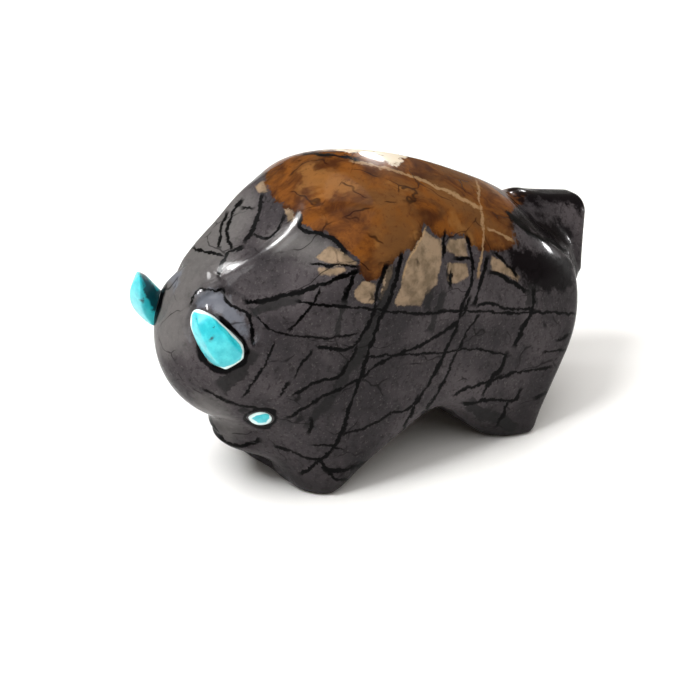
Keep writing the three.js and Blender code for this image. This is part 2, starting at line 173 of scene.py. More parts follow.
def spline_through(points, steps):
    """A smooth line from the second to the last but one of some points."""
    t = (np.arange(steps) / steps)[:, None]
    spans = []
    for a, b, c, d in zip(points, points[1:], points[2:], points[3:]):
        spans.append(0.5 * (2 * b + (c - a) * t + (2 * a - 5 * b + 4 * c - d) * t ** 2
                            + (3 * b - a - 3 * c + d) * t ** 3))
    return np.concatenate(spans)


CORNERS = np.array(BACK_LINE + UNDER_LINE, float)
OUTLINE = spline_through(np.concatenate([CORNERS[-1:], CORNERS, CORNERS[:2]]), STEPS_PER_SPAN)


def ring_distance(ring, x, z):
    """Distance to a closed line through points, negative inside it."""
    x, z = np.broadcast_arrays(x, z)
    nearest = np.full(x.shape, np.inf)
    inside = np.zeros(x.shape, bool)
    for (ax, az), (bx, bz) in zip(ring, np.roll(ring, 1, axis=0)):
        ex, ez, wx, wz = bx - ax, bz - az, x - ax, z - az
        t = np.clip((wx * ex + wz * ez) / (ex * ex + ez * ez), 0, 1)
        nearest = np.minimum(nearest, (wx - ex * t) ** 2 + (wz - ez * t) ** 2)
        if ez:
            inside ^= ((az > z) != (bz > z)) & (x < ax + ex * wz / ez)
    return np.sqrt(nearest) * np.where(inside, -1, 1)


def smooth_min(a, b, k):
    h = np.clip(0.5 + 0.5 * (b - a) / k, 0, 1)
    return b * (1 - h) + a * h - k * h * (1 - h)


def smooth_max(a, b, k):
    return -smooth_min(-a, -b, k)


def rounded_both(a, b, radius):
    outer = np.hypot(np.maximum(a + radius, 0), np.maximum(b + radius, 0))
    return np.minimum(np.maximum(a, b) + radius, 0) + outer - radius


def turned(x, y, z, mass):
    """Places as seen from a mass's centre, along its own turned axes."""
    angle = math.radians(mass["turn"])
    dx, dy, dz = (value - centre for value, centre in zip((x, y, z), mass["centre"]))
    along = dx * math.cos(angle) - dz * math.sin(angle)
    return along, dy, dx * math.sin(angle) + dz * math.cos(angle)


def ellipsoid(x, y, z, mass, growth=0.0):
    along, dy, above = turned(x, y, z, mass)
    rx, ry, rz = (radius + growth for radius in mass["radii"])
    near = np.sqrt((along / rx) ** 2 + (dy / ry) ** 2 + (above / rz) ** 2)
    steep = np.sqrt((along / rx ** 2) ** 2 + (dy / ry ** 2) ** 2 + (above / rz ** 2) ** 2)
    return near * (near - 1) / np.maximum(steep, np.finfo(float).eps)


def rounded_block(x, y, z, mass):
    """A block with rounded edges, shorter towards its foot and narrower towards its top."""
    along, dy, above = turned(x, y, z, mass)
    long, wide, high = mass["halves"]
    up = np.clip(0.5 + above / (2 * high), 0, 1)
    pairs = ((along, long * (1 - mass["taper"] * (1 - up))), (dy, wide * (1 - mass["roof"] * up)),
             (above, high))
    beyond = [np.abs(value) - half + mass["rounding"] for value, half in pairs]
    outside = np.sqrt(sum(np.maximum(value, 0) ** 2 for value in beyond))
    inside = np.minimum(np.maximum(np.maximum(beyond[0], beyond[1]), beyond[2]), 0)
    return outside + inside - mass["rounding"]


def tapered_rod(x, y, z, rod):
    start = np.array(rod["from"])
    axis = rod["to"] - start
    offset = np.stack(np.broadcast_arrays(x - start[0], y - start[1], z - start[2]), -1)
    t = np.clip(offset @ axis / (axis @ axis), 0, 1)
    away = np.linalg.norm(offset - t[..., None] * axis, axis=-1)
    thick, thin = rod["radii"]
    return away - (thick + (thin - thick) * t)


def trunk(x, y, z):
    """Side outline and flanks, with the slopes beside the top plate cut off them."""
    slope = curve_through(BACK_LINE, x + PROBE_STEP) - curve_through(BACK_LINE, x - PROBE_STEP)
    steep = np.hypot(1, slope / (2 * PROBE_STEP))
    depth = (curve_through(BACK_LINE, x) - z) / steep
    spread = curve_through(SPREAD_ALONG_X, x)
    slope_side = (y - curve_through(PLATE_ALONG_X, x) - spread * depth) / np.hypot(1, spread)
    narrowing = curve_through(FOOT_NARROWING, x) * curve_through(NARROWING_OVER_Z, z)
    flank = y - curve_through(FLANK_ALONG_X, x) * (1 - narrowing)
    body = rounded_both(ring_distance(OUTLINE, x, z), flank, FLANK_ROUNDING)
    return smooth_max(body, slope_side, curve_through(SOFT_ALONG_X, x))


def engraved(form, to_line, radius, share):
    """The form with a line engraved in it, which leaves the form alone where its share is 0."""
    line = BLEND["line"]
    return smooth_max(form, (radius + line) * share - line - to_line, line)


def stone_field(x, side, z):
    """The stone as a field, negative inside it, in carving units."""
    y = np.abs(side)
    form = smooth_min(ellipsoid(x, y, z, SKULL), ellipsoid(x, y, z, MUZZLE), BLEND["muzzle"])
    form = smooth_min(trunk(x, y, z), form, BLEND["head"])
    form = smooth_min(form, ellipsoid(x, y, z, HORN_PAD), BLEND["pad"])
    form = smooth_min(form, rounded_block(x, y, z, TAIL), BLEND["tail"])
    for groove in (CHEST_GROOVE, RUMP_GROOVE):
        form = smooth_max(form, -tapered_rod(x, y, z, groove), BLEND["groove"])
    fade = np.clip((z - PAD_CREASE["fade_from"]) / PAD_CREASE["fade_over"], 0, 1)
    to_crease = np.hypot(form, ellipsoid(x, y, z, HORN_PAD, PAD_CREASE["growth"]))
    form = engraved(form, to_crease, PAD_CREASE["radius"], fade)
    length = np.clip((x - MOUTH["start"]) / MOUTH["fade_over"], 0, 1)
    breadth = np.clip((MOUTH["half_width"] - y) / MOUTH["fade_over"], 0, 1)
    form = engraved(form, np.hypot(form, z - MOUTH["height"]), MOUTH["radius"], length * breadth)
    return smooth_max(form, -z, BLEND["foot"])


# Meshing


def slope_of(field, points):
    x, y, z = points.T
    rises = [field(x + dx, y + dy, z + dz) - field(x - dx, y - dy, z - dz)
             for dx, dy, dz in np.eye(3) * PROBE_STEP]
    return np.stack(rises, -1) / (2 * PROBE_STEP)


def settle(field, points):
    """Moves points along the field's slope until they lie on the surface."""
    for _ in range(SETTLE_ROUNDS):
        slope = slope_of(field, points)
        away = field(*points.T) / np.maximum((slope ** 2).sum(-1), FLATTEST_SLOPE)
        points = points - np.clip(away, -SETTLE_REACH, SETTLE_REACH)[:, None] * slope
    return points


def surface_of(field, low, high, cell):
    """A field's surface: a point in each cell that it crosses, and a quad over each edge."""
    count = np.ceil((high - low) / cell).astype(int) + 1
    x, y, z = (low[axis] + cell * np.arange(count[axis]) for axis in range(3))
    values = field(x[:, None, None], y[None, :, None], z[None, None, :])
    inside = values < 0
    cells = count - 1
    total = np.zeros((*cells, 3))
    crossings = np.zeros(cells)
    for axis, ahead in enumerate(np.eye(3, dtype=int)):
        for corner in (place for place in np.ndindex(2, 2, 2) if not place[axis]):
            near, far = (tuple(slice(c, c + n) for c, n in zip(place, cells))
                         for place in (corner, corner + ahead))
            crossed = inside[near] != inside[far]
            step = np.where(crossed, values[near] - values[far], 1)
            share = np.where(crossed, values[near] / step, 0)
            total += crossed[..., None] * (corner + share[..., None] * ahead)
            crossings += crossed
    held = crossings > 0
    number = np.full(cells, -1)
    number[held] = np.arange(held.sum())
    points = low + cell * (np.argwhere(held) + total[held] / crossings[held][:, None])
    quads = []
    for axis in range(3):
        a, b = (axis + 1) % 3, (axis + 2) % 3
        inner = [slice(1, n) for n in cells]
        inner[axis] = slice(None)
        places = np.argwhere(np.diff(inside, axis=axis)[tuple(inner)])
        places[:, [a, b]] += 1
        entering = ~inside[tuple(places.T)]
        around = []
        for back_a, back_b in ((1, 1), (0, 1), (0, 0), (1, 0)):
            place = places.copy()
            place[:, a] -= back_a
            place[:, b] -= back_b
            around.append(number[tuple(place.T)])
        quad = np.stack(around, -1)
        quad[entering] = quad[entering][:, ::-1]
        quads.append(quad)
    return points, np.concatenate(quads)


def in_scene(name, data):
    """An object made of a mesh, a camera or a light."""
    made = bpy.data.objects.new(name, data)
    scene.collection.objects.link(made)
    return made


def smoothed(mesh):
    mesh.polygons.foreach_set("use_smooth", [True] * len(mesh.polygons))
    mesh.update()
    return mesh


def object_of(name, points, faces):
    mesh = bpy.data.meshes.new(name)
    mesh.from_pydata(np.asarray(points).tolist(), [], [tuple(face) for face in faces])
    return in_scene(name, smoothed(mesh))


def keep(piece, name, values):
    """Keeps one number, or three, with each point of a piece."""
    kind, entry = ("FLOAT", "value") if values.ndim == 1 else ("FLOAT_VECTOR", "vector")
    attribute = piece.data.attributes.new(name, kind, "POINT")
    attribute.data.foreach_set(entry, values.astype(np.float32).ravel())


def points_of(piece):
    points = np.empty(len(piece.data.vertices) * 3)
    piece.data.vertices.foreach_get("co", points)
    return points.reshape(-1, 3)


def skin_of(name, rings, first_middle, last_middle):
    """A closed skin over rings of points, with a middle point at each end."""
    sides = len(rings[0])
    points = [first_middle, *[point for ring in rings for point in ring], last_middle]
    faces = []
    for side in range(sides):
        beside = (side + 1) % sides
        faces.append((0, 1 + beside, 1 + side))
        end = 1 + (len(rings) - 1) * sides
        faces.append((len(points) - 1, end + side, end + beside))
        for ring in range(len(rings) - 1):
            a, b = 1 + ring * sides, 1 + (ring + 1) * sides
            faces.append((a + side, a + beside, b + beside, b + side))
    return object_of(name, points, faces)


def stone_mesh():
    # Half a row more keeps the rows even on both sides of the middle, and none on it
    half_rows = math.ceil((FLANK_WIDEST + MESH_MARGIN) / MESH_CELL) + 0.5
    low = np.array([TAIL_REAR - MESH_MARGIN, -half_rows * MESH_CELL, -MESH_MARGIN])
    high = np.array([SKULL_FRONT + MESH_MARGIN, half_rows * MESH_CELL, BACK_TOP + MESH_MARGIN])
    points, quads = surface_of(stone_field, low, high, MESH_CELL)
    return object_of("carved_stone", in_metres(settle(stone_field, points)), quads)


def mirrored(piece, name):
    mesh = piece.data.copy()
    mesh.transform(Matrix.Diagonal((1, -1, 1, 1)))
    mesh.flip_normals()
    return in_scene(name, mesh)


# Inlays


def end_rounding(u):
    """The share of its width that the horn has where its two ends are rounded off."""
    before, after = 1 - u / HORN_ENDS["low"], 1 - (1 - u) / HORN_ENDS["tip"]
    return math.sqrt((1 - max(before, 0) ** 2) * (1 - max(after, 0) ** 2))


def horn(name, gap=0.0):
    """Left horn: a blade with a keeled face, thin at its tip. A gap grows it into its pocket."""
    low, middle, tip = in_metres(HORN_LINE)
    # The curve bends towards this place and so passes through the middle one
    control = 2 * middle - 0.5 * (low + tip)
    rings = []
    angles = 2 * math.pi * np.arange(HORN_SIDES) / HORN_SIDES
    for u in (1 - np.cos(np.linspace(0, math.pi, HORN_RINGS)[1:-1])) / 2:
        place = (1 - u) ** 2 * low + 2 * u * (1 - u) * control + u ** 2 * tip
        along = direction(2 * (1 - u) * (control - low) + 2 * u * (tip - control))
        out = direction(HORN_FACING - np.dot(HORN_FACING, along) * along)
        across = np.cross(out, along)
        half = HORN_HALF_WIDTH * end_rounding(u) * curve_through(HORN_TAPER, u) + gap
        thinning = end_rounding(u) * curve_through(HORN_THINNING, u)
        sideways = half * np.cos(angles)
        keeled = HORN_KEEL * (1 - np.abs(np.cos(angles))) + (1 - HORN_KEEL) * np.sin(angles)
        face = (HORN_DOME * thinning + gap) * keeled
        back = (HORN_DEPTH * thinning + gap) * np.sin(angles)
        rise = np.where(np.sin(angles) > 0, face, back)
        place = place + along * gap * (2 * u - 1)
        rings.append(place + sideways[:, None] * across + rise[:, None] * out)
    low_end = low - gap * direction(control - low)
    return skin_of(name, rings, low_end, tip + gap * direction(tip - control))


def eye(name, gap=0.0):
    """Left eye: an almond cabochon, square to the stone, pointed towards the muzzle."""
    # From inside the head outwards, as far as the skin
    seat = np.array([EYE_FROM], float)
    stride = direction(EYE_TOWARDS) * PROBE_STEP
    while stone_field(*seat.T)[0] < 0:
        seat = seat + stride
    seat = settle(stone_field, seat)
    out = direction((slope_of(stone_field, seat) / UNIT)[0])
    forward = direction((1, 0, 0) - out[0] * out)
    down = np.cross(out, forward)
    turn = math.radians(EYE_TURN)
    along_eye = forward * math.cos(turn) + down * math.sin(turn)
    across_eye = down * math.cos(turn) - forward * math.sin(turn)
    centre = in_metres(seat)[0]
    angles = 2 * math.pi * np.arange(EYE_SIDES) / EYE_SIDES
    rise = np.sin(angles)
    narrowed = np.where(np.cos(angles) > 0, np.sign(rise) * np.abs(rise) ** EYE_NARROWING, rise)

    def ring(height, scale):
        along = (EYE_LENGTH / 2 + gap) * np.cos(angles) * scale
        above = (EYE_HEIGHT / 2 + gap) * narrowed * scale
        return centre + height * out + along[:, None] * along_eye + above[:, None] * across_eye

    floor = -EYE_DEPTH - gap
    dome = EYE_DOME + gap
    turns = np.linspace(0, math.pi / 2, EYE_RINGS, endpoint=False)
    rings = [ring(floor, 1), *[ring(dome * math.sin(turn), math.cos(turn)) for turn in turns]]
    return skin_of(name, rings, centre + floor * out, centre + dome * out)


def boolean(piece, other, operation):
    modifier = piece.modifiers.new(operation.lower(), "BOOLEAN")
    modifier.operation = operation
    modifier.object = other
    modifier.solver = "EXACT"
    evaluated = piece.evaluated_get(bpy.context.evaluated_depsgraph_get())
    cut = bpy.data.meshes.new_from_object(evaluated)
    piece.modifiers.clear()
    piece.data = smoothed(cut)


# Camera, placed as the photograph was taken

# Angles in degrees, and the pixel that shows the place that it aims at
VIEW_AZIMUTH = 142
VIEW_ELEVATION = 25
VIEW_DISTANCE = 212.65 * MM
PICTURE_SIZE = 700
FOCAL_PIXELS = 2262
SENSOR_WIDTH = 36
AIM_HEIGHT = 14.72 * MM
AIM_PIXEL = (368, 296)


def way_to(turn, height):
    """The way from the carving to a place round it, from two angles in degrees."""
    turn, height = math.radians(turn), math.radians(height)
    level = math.cos(height)
    return np.array([math.sin(turn) * level, -math.cos(turn) * level, math.sin(height)])


VIEW_BACK = way_to(VIEW_AZIMUTH, VIEW_ELEVATION)
VIEW_RIGHT = direction(np.cross((0, 0, 1), VIEW_BACK))
VIEW_UP = np.cross(VIEW_BACK, VIEW_RIGHT)
CAMERA_PLACE = np.array([SHIFT[0], 0, AIM_HEIGHT]) + VIEW_BACK * VIEW_DISTANCE


def in_picture(points):
    """Pixel places of points, as the camera sees them."""
    offset = points - CAMERA_PLACE
    depth = -offset @ VIEW_BACK
    across = AIM_PIXEL[0] + FOCAL_PIXELS * (offset @ VIEW_RIGHT) / depth
    down = AIM_PIXEL[1] - FOCAL_PIXELS * (offset @ VIEW_UP) / depth
    return np.stack([across, down], -1)


def add_camera():
    camera = in_scene("camera", bpy.data.cameras.new("camera"))
    across, down = (PICTURE_SIZE / 2 - pixel for pixel in AIM_PIXEL)
    ahead = (across * VIEW_RIGHT - down * VIEW_UP) / FOCAL_PIXELS - VIEW_BACK
    camera.location = CAMERA_PLACE
    camera.rotation_euler = Vector(ahead).to_track_quat("-Z", "Y").to_euler()
    camera.data.sensor_width = SENSOR_WIDTH
    camera.data.lens = FOCAL_PIXELS * SENSOR_WIDTH / PICTURE_SIZE
    camera.data.clip_start = 10 * MM
    camera.data.clip_end = 10
    scene.camera = camera


def add_light(name, turn, height, distance, size, power):
    """A round light that looks at the carving."""
    back = Vector(way_to(VIEW_AZIMUTH + turn, height))
    data = bpy.data.lights.new(name, "AREA")
    data.shape = "DISK"
    data.size = size
    data.energy = power
    data.color = TINTS.get(name, (1, 1, 1))
    light = in_scene(name, data)
    light.location = Vector((0, 0, AIM_HEIGHT)) + back * distance
    light.rotation_euler = back.to_track_quat("Z", "Y").to_euler()
    light.visible_diffuse = name not in GLINTS


# Marks on the stone, traced as pixels of the photograph

# Each vein as its points and its half width, and the painted shadow under the lip
BLACK_VEINS = {
    "shoulder_long": ([(358, 271), (340, 277), (320, 285), (302, 292), (285, 296), (262, 301),
        (246, 303)], 1.8),
    "shoulder_short": ([(312, 264), (330, 266), (345, 265), (357, 267)], 1.2),
    "shoulder_drop": ([(353, 276), (349, 288), (344, 300)], 2.2),
    "shoulder_fork": ([(320, 290), (313, 305), (303, 315), (290, 330)], 1.1),
    "level_high": ([(298, 302), (332, 306), (360, 308), (412, 313), (455, 311), (500, 312), (545, 312),
        (576, 313)], 1.1),
    "level_high_twin": ([(478, 305), (490, 303), (508, 308), (530, 308)], 1.2),
    "level_middle": ([(258, 318), (270, 329), (290, 335), (325, 338), (356, 334)], 0.9),
    "band_left": ([(386, 265), (380, 282), (376, 300), (371, 320), (361, 336), (350, 348), (332, 349),
        (318, 347)], 1.4),
    "band_right": ([(401, 254), (397, 275), (390, 298), (380, 318), (376, 332), (369, 350), (362, 374),
        (352, 400), (344, 428), (333, 449), (320, 461), (302, 474)], 1.6),
    "band_low": ([(356, 346), (349, 362), (339, 376), (322, 380), (308, 387), (294, 395)], 1.4),
    "level_low": ([(366, 357), (390, 355), (415, 354), (440, 352), (470, 349), (490, 351),
        (507, 355)], 1.1),
    "level_low_rear": ([(545, 351), (556, 350), (570, 349)], 1.0),
    "long_slant": ([(470, 298), (458, 320), (440, 333), (425, 343), (408, 350), (390, 358), (373, 368),
        (358, 380), (325, 396), (288, 418)], 1.3),
    "belly_slant": ([(344, 434), (370, 426), (390, 414), (408, 409), (418, 396)], 1.0),
    "cheek_slant": ([(273, 344), (264, 366), (256, 378), (244, 396)], 1.1),
    "cheek_short": ([(311, 351), (302, 364), (295, 376)], 1.0),
    "cheek_tick": ([(288, 383), (280, 395)], 1.2),
    "brow_of_eye": ([(205, 390), (218, 398), (232, 403), (246, 407), (262, 409)], 1.1),
    "pad_top": ([(190, 303), (196, 293), (203, 289), (215, 291), (222, 289)], 1.0),
    "pad_side": ([(222, 290), (228, 303), (236, 308), (245, 313), (250, 318), (252, 330),
        (253, 345)], 1.5),
    "chin_line": ([(276, 447), (292, 452), (308, 458), (321, 460)], 1.2),
    "leg_tick": ([(314, 445), (330, 446), (343, 450)], 0.9),
    "leg_spot": ([(311, 420), (312, 427), (309, 432)], 1.5),
    "belly_edge": ([(321, 462), (328, 470), (342, 471), (358, 466), (378, 460), (392, 451), (405, 439),
        (420, 428)], 1.7),
    "foot_edge": ([(330, 473), (339, 480), (356, 479)], 1.4),
    "rear_double_left": ([(466, 237), (470, 250), (473, 266), (471, 283), (463, 303), (456, 328),
        (450, 342), (434, 375), (420, 398), (410, 416), (401, 436)], 1.3),
    "rear_double_right": ([(487, 258), (483, 272), (478, 290), (474, 304)], 1.5),
    "rear_double_low": ([(478, 315), (468, 330), (460, 345), (452, 360), (446, 378), (436, 395),
        (426, 410), (408, 432)], 1.1),
    "arch_edge": ([(431, 416), (418, 426), (404, 438)], 1.5),
    "cream_upright": ([(444, 232), (443, 256)], 1.1),
    "cream_upright_low": ([(451, 271), (449, 286)], 1.1),
    "cream_level": ([(456, 258), (470, 258)], 1.3),
    "rump_edge": ([(490, 272), (500, 275), (512, 282), (525, 291)], 1.7),
    "rump_edge_high": ([(495, 252), (506, 263), (516, 275)], 1.3),
    "rump_drop": ([(534, 289), (532, 308), (524, 325), (515, 345)], 1.7),
    "hind_slant": ([(507, 353), (500, 368), (492, 378), (483, 393)], 1.5),
    "hind_level": ([(455, 394), (468, 388), (492, 380), (512, 373), (530, 370), (550, 367)], 1.2),
    "hind_level_low": ([(464, 403), (476, 403), (488, 399), (514, 400), (521, 389)], 1.3),
    "hind_tick": ([(507, 402), (503, 414), (496, 425)], 1.2),
    "rear_tick": ([(568, 334), (558, 339)], 1.0),
    "rear_tick_low": ([(536, 397), (547, 392)], 1.4),
    "brow_far": ([(262, 196), (259, 210), (254, 226), (245, 242)], 1.7),
    "brow_middle": ([(241, 201), (234, 209), (229, 222), (227, 236), (231, 249)], 1.6),
    "brow_near": ([(226, 214), (221, 228), (219, 247)], 1.3),
    "brow_level": ([(191, 248), (205, 252), (222, 257)], 1.3),
    "brow_joint": ([(242, 248), (229, 253), (223, 262), (219, 276)], 1.7),
    "brow_tick": ([(243, 208), (251, 208)], 1.2),
    "ridge_tick": ([(254, 235), (268, 238), (278, 229), (283, 217)], 1.0),
    "brown_edge": ([(298, 214), (301, 228), (318, 234), (333, 239), (346, 252)], 1.9),
    "crest_line": ([(303, 154), (322, 155), (343, 157), (356, 160)], 1.1),
    # Painted shadow under the lip, along the mouth line
    "mouth": ([(209, 420), (216, 433), (223, 441), (236, 447), (248, 445), (259, 441)], 1.8),
    "tail_foot": ([(507, 212), (516, 220), (527, 231), (540, 238), (552, 241), (564, 250)], 1.8),
}

# Broad soft bands of charcoal, and painted shade on the cheek under the horn
CHARCOAL_BANDS = {
    "band": ([(394, 268), (385, 298), (372, 326), (364, 345), (352, 364), (340, 380)], 5.5),
    "band_low": ([(340, 382), (330, 400), (318, 414), (308, 428)], 3.5),
    "shoulder_foot": ([(345, 300), (340, 318), (336, 334)], 2.0),
    "cream_foot": ([(443, 292), (436, 312), (430, 330)], 2.6),
    "cream_foot_twin": ([(430, 290), (427, 308)], 2.6),
    "rump_drop": ([(534, 286), (531, 304)], 4.5),
    "hind": ([(470, 402), (480, 412), (500, 420), (515, 428)], 5.0),
    "shoulder": ([(300, 298), (275, 304), (252, 312)], 4.0),
    # Painted shade on the cheek under the horn
    "cheek_shade": ([(252, 352), (240, 370), (222, 388)], 7.0),
}

# Thin pale veins in the brown
PALE_VEINS = {
    "along_back": ([(352, 161), (390, 170), (425, 182), (455, 195), (477, 207)], 1.0),
    "down_side": ([(476, 182), (479, 200), (482, 222), (482, 247), (478, 275)], 0.7),
    "rear": ([(489, 229), (498, 233), (510, 239)], 1.0),
    "cream_rim": ([(425, 229), (416, 246), (407, 262), (403, 276)], 0.6),
}

# The sharp edge between the shoulder and the brow, a fine relief
EDGE_LINES = {
    "shoulder": ([(282, 228), (275, 234), (266, 242), (255, 252), (246, 258), (238, 262), (230, 268),
        (222, 275), (214, 282), (205, 286)], 2.2),
}

# Regions of other colour, as rings: the brown over the back, and cream patches below it
BROWN_RING = [(262, 120), (264, 186), (270, 196), (279, 204), (289, 208), (294, 221), (306, 230),
    (322, 232), (335, 240), (348, 253), (357, 262), (361, 277), (376, 281), (387, 266), (398, 257),
    (411, 250), (419, 238), (424, 225), (436, 235), (464, 235), (471, 247), (486, 252), (502, 250),
    (516, 244), (512, 228), (512, 212), (525, 197), (540, 186), (560, 120)]
CREAM_RINGS = {
    "large": [(424, 228), (432, 236), (442, 240), (441, 262), (436, 284), (425, 297), (422, 307),
        (394, 305), (400, 288), (403, 270), (410, 252)],
    "square": [(446, 239), (465, 238), (468, 256), (456, 257), (446, 250)],
    "square_low": [(447, 262), (468, 262), (468, 276), (455, 284), (446, 280)],
    "left": [(353, 292), (362, 281), (377, 283), (374, 304), (356, 301)],
    "between": [(386, 268), (394, 264), (390, 282), (381, 302), (378, 300)],
    "shoulder": [(315, 258), (330, 244), (345, 252), (358, 262), (357, 266), (330, 264)],
    "shoulder_low": [(318, 268), (352, 268), (336, 275), (318, 276)],
    "rump": [(492, 255), (503, 262), (522, 276), (518, 281), (500, 272), (490, 270)],
    "brow": [(284, 206), (294, 210), (296, 222), (286, 224)],
    "brow_front": [(255, 186), (264, 180), (268, 194), (258, 194)],
}

# A white patch on the crest: pale stone with a painted highlight over it
WHITE_AND_HIGHLIGHT_RING = [(316, 140), (318, 149), (345, 151), (372, 156), (388, 163), (397, 165), (402, 162),
    (398, 159), (405, 157), (399, 153), (393, 149), (370, 140)]

# Nearly black stone round the tail
DARK_RINGS = {
    "tail_top": [(494, 165), (500, 187), (513, 197), (530, 203), (550, 204), (562, 203), (574, 208),
        (590, 216), (610, 200), (610, 160)],
    "tail_side": [(506, 212), (520, 210), (534, 216), (552, 219), (568, 226), (574, 236), (566, 246),
        (548, 242), (528, 233), (514, 224)],
    "under_tail": [(503, 252), (520, 247), (542, 251), (562, 254), (574, 263), (576, 288), (546, 293),
        (526, 287), (514, 270)],
}

# The outlines of the inlays, which also place the painted highlight on their rims, the dark joint beside
# the far horn, and dark matrix in the turquoise with painted shade over the far horn's inner facet
RIM_RINGS = {
    "near_horn": [(193, 311), (206, 313), (218, 320), (230, 332), (241, 344), (244, 352), (242, 361),
        (234, 366), (224, 370), (213, 367), (204, 359), (195, 345), (190, 328), (190, 316)],
    "near_eye": [(249, 419), (256, 414), (266, 412.5), (271, 414), (271, 419), (267, 424.5), (258, 425)],
}
FAR_JOINT_RING = [(139, 269), (150, 281), (162, 290), (158, 308), (150, 326), (138, 318), (129, 300),
    (131, 282)]
MATRIX_AND_SHADE_RINGS = {
    # Painted shade over the far horn's inner facet
    "far_facet_shade": [(139, 266), (148, 280), (157, 290), (166, 291), (160, 312), (153, 312), (147, 300),
        (142, 284)],
    "far_fleck": [(140, 300), (143, 299), (145, 302), (142, 304)],
    "near_fleck": [(210, 338), (214, 335), (216, 338), (212, 341), (209, 341)],
}

# Painted sheen: lighter grey over the front of the face, the muzzle and the shoulder, where highlights
# and reflections fall
PAINTED_SHEEN_RINGS = {
    "face": [(140, 330), (160, 270), (200, 225), (236, 200), (250, 200), (246, 222), (232, 244),
        (222, 262), (206, 282), (192, 296), (184, 316), (180, 346), (166, 356), (150, 350)],
    "muzzle": [(198, 396), (214, 400), (226, 418), (240, 434), (228, 440), (210, 424), (198, 412)],
    "shoulder": [(288, 231), (300, 230), (314, 236), (328, 246), (326, 256), (308, 256), (290, 252),
        (272, 254), (268, 248)],
}

# A painted bluish reflection on the pad above the horn
PAINTED_REFLECTION_RING = [(192, 303), (197, 293), (207, 288), (217, 290), (226, 297), (236, 308), (245, 317),
    (250, 330), (247, 342), (237, 330), (222, 316), (206, 306), (196, 310)]

PIXELS_PER_MM = FOCAL_PIXELS * MM / VIEW_DISTANCE

# In pixels: a vein is full this far beyond its half width, ends this far beyond it, and fades out over
# this length past its ends. Veins that share a field lie farther apart than their clearance.
VEIN_STEPS = 5
VEIN_FULL = 1.0
VEIN_REACH = 4.2
VEIN_END_FADE = 4.0
VEIN_CLEARANCE = 14.0
BAND_CLEARANCE = 34.0
RING_REACH = 30.0
INLAY_REACH = 1.5 * MM


def vein_path(points):
    places = np.array(points, float)
    if len(places) == 2:
        return places
    held = np.concatenate([[2 * places[0] - places[1]], places, [2 * places[-1] - places[-2]]])
    return np.concatenate([spline_through(held, VEIN_STEPS), places[-1:]])


def rows_near(places, shape, margin):
    """The rows of those places that lie in a shape's box, grown by a margin."""
    close = (places > shape.min(0) - margin) & (places < shape.max(0) + margin)
    return np.flatnonzero(np.all(close, axis=1))


def beside(path, places):
    """Signed distance of places to a path, and how far past its ends they lie."""
    spans = np.diff(path, axis=0)
    lengths = np.linalg.norm(spans, axis=1)
    ways = spans / lengths[:, None]
    offset = places[:, None] - path[None, :-1]
    along = (offset * ways).sum(-1)
    side = ways[:, 0] * offset[..., 1] - ways[:, 1] * offset[..., 0]
    inside = np.clip(along, 0, lengths)
    nearest = np.argmin(side ** 2 + (along - inside) ** 2, axis=1)
    rows = np.arange(len(places))
    along, side = along[rows, nearest], side[rows, nearest]
    before = np.where(nearest == 0, -along, 0)
    after = np.where(nearest == len(ways) - 1, along - lengths[-1], 0)
    return side, np.maximum(np.maximum(before, after), 0)


def apart(one, other):
    """Least distance between two paths, from their points."""
    return np.linalg.norm(one[:, None] - other[None], axis=-1).min()


def into_families(veins, clearance):
    """Sorts veins so that those of one family lie well apart and can share one field."""
    families = []
    for points, half in veins.values():
        path = vein_path(points)
        home = next((f for f in families if all(apart(path, p) > clearance for p, _ in f)), None)
        if home is None:
            home = []
            families.append(home)
        home.append((path, half))
    return families


def vein_field(family, places):
    """For each place, the distance to its vein and that vein's half width, in mm, and its share."""
    field = np.zeros((len(places), 3))
    nearest = np.full(len(places), np.inf)
    for path, half in family:
        rows = rows_near(places, path, half + VEIN_REACH + VEIN_END_FADE)
        side, past = beside(path, places[rows])
        better = np.hypot(side, past) < nearest[rows]
        rows, side, past = rows[better], side[better], past[better]
        nearest[rows] = np.hypot(side, past)
        share = np.clip((half + VEIN_REACH - np.abs(side)) / (VEIN_REACH - VEIN_FULL), 0, 1)
        share *= np.clip(1 - past / VEIN_END_FADE, 0, 1)
        halves = np.full(len(rows), half / PIXELS_PER_MM)
        field[rows] = np.stack([side / PIXELS_PER_MM, halves, share], -1)
    return field


def ring_depth(ring, places):
    """How deep places lie inside a ring of pixels, in mm, negative outside it."""
    corners = np.array(ring, float)
    depth = np.full(len(places), -RING_REACH)
    rows = rows_near(places, corners, RING_REACH)
    depth[rows] = np.clip(-ring_distance(corners, *places[rows].T), -RING_REACH, RING_REACH)
    return depth / PIXELS_PER_MM


def deepest(rings, places):
    return np.max([ring_depth(ring, places) for ring in rings.values()], axis=0)


def on_left(points):
    """Points of both sides, laid over each other on the left one."""
    x, y, z = points.T
    return np.stack([x, np.abs(y), z], -1)


def inlay_distance(points, inlays):
    """Distance to the nearest inlay where it stands out of the stone, in mm."""
    distance = np.full(len(points), INLAY_REACH)
    for inlay in inlays:
        spots = points_of(inlay)
        spots = spots[stone_field(*((spots - SHIFT) / UNIT).T) > 0]
        tree = KDTree(len(spots))
        for number, spot in enumerate(spots):
            tree.insert(spot, number)
        tree.balance()
        for row in rows_near(points, spots, INLAY_REACH):
            distance[row] = min(distance[row], tree.find(points[row])[2])
    return distance / MM


# Materials

# Height of the painted shade at the feet and half width of the sharp edge, in mm
FEET_SHADE_HEIGHT = 8.0
EDGE_HALF_WIDTH = 0.34

# Heights of the fine relief, in metres
EDGE_RELIEF = 0.1 * MM
WAVE_RELIEF = 0.12 * MM
GRAIN_RELIEF = 0.02 * MM


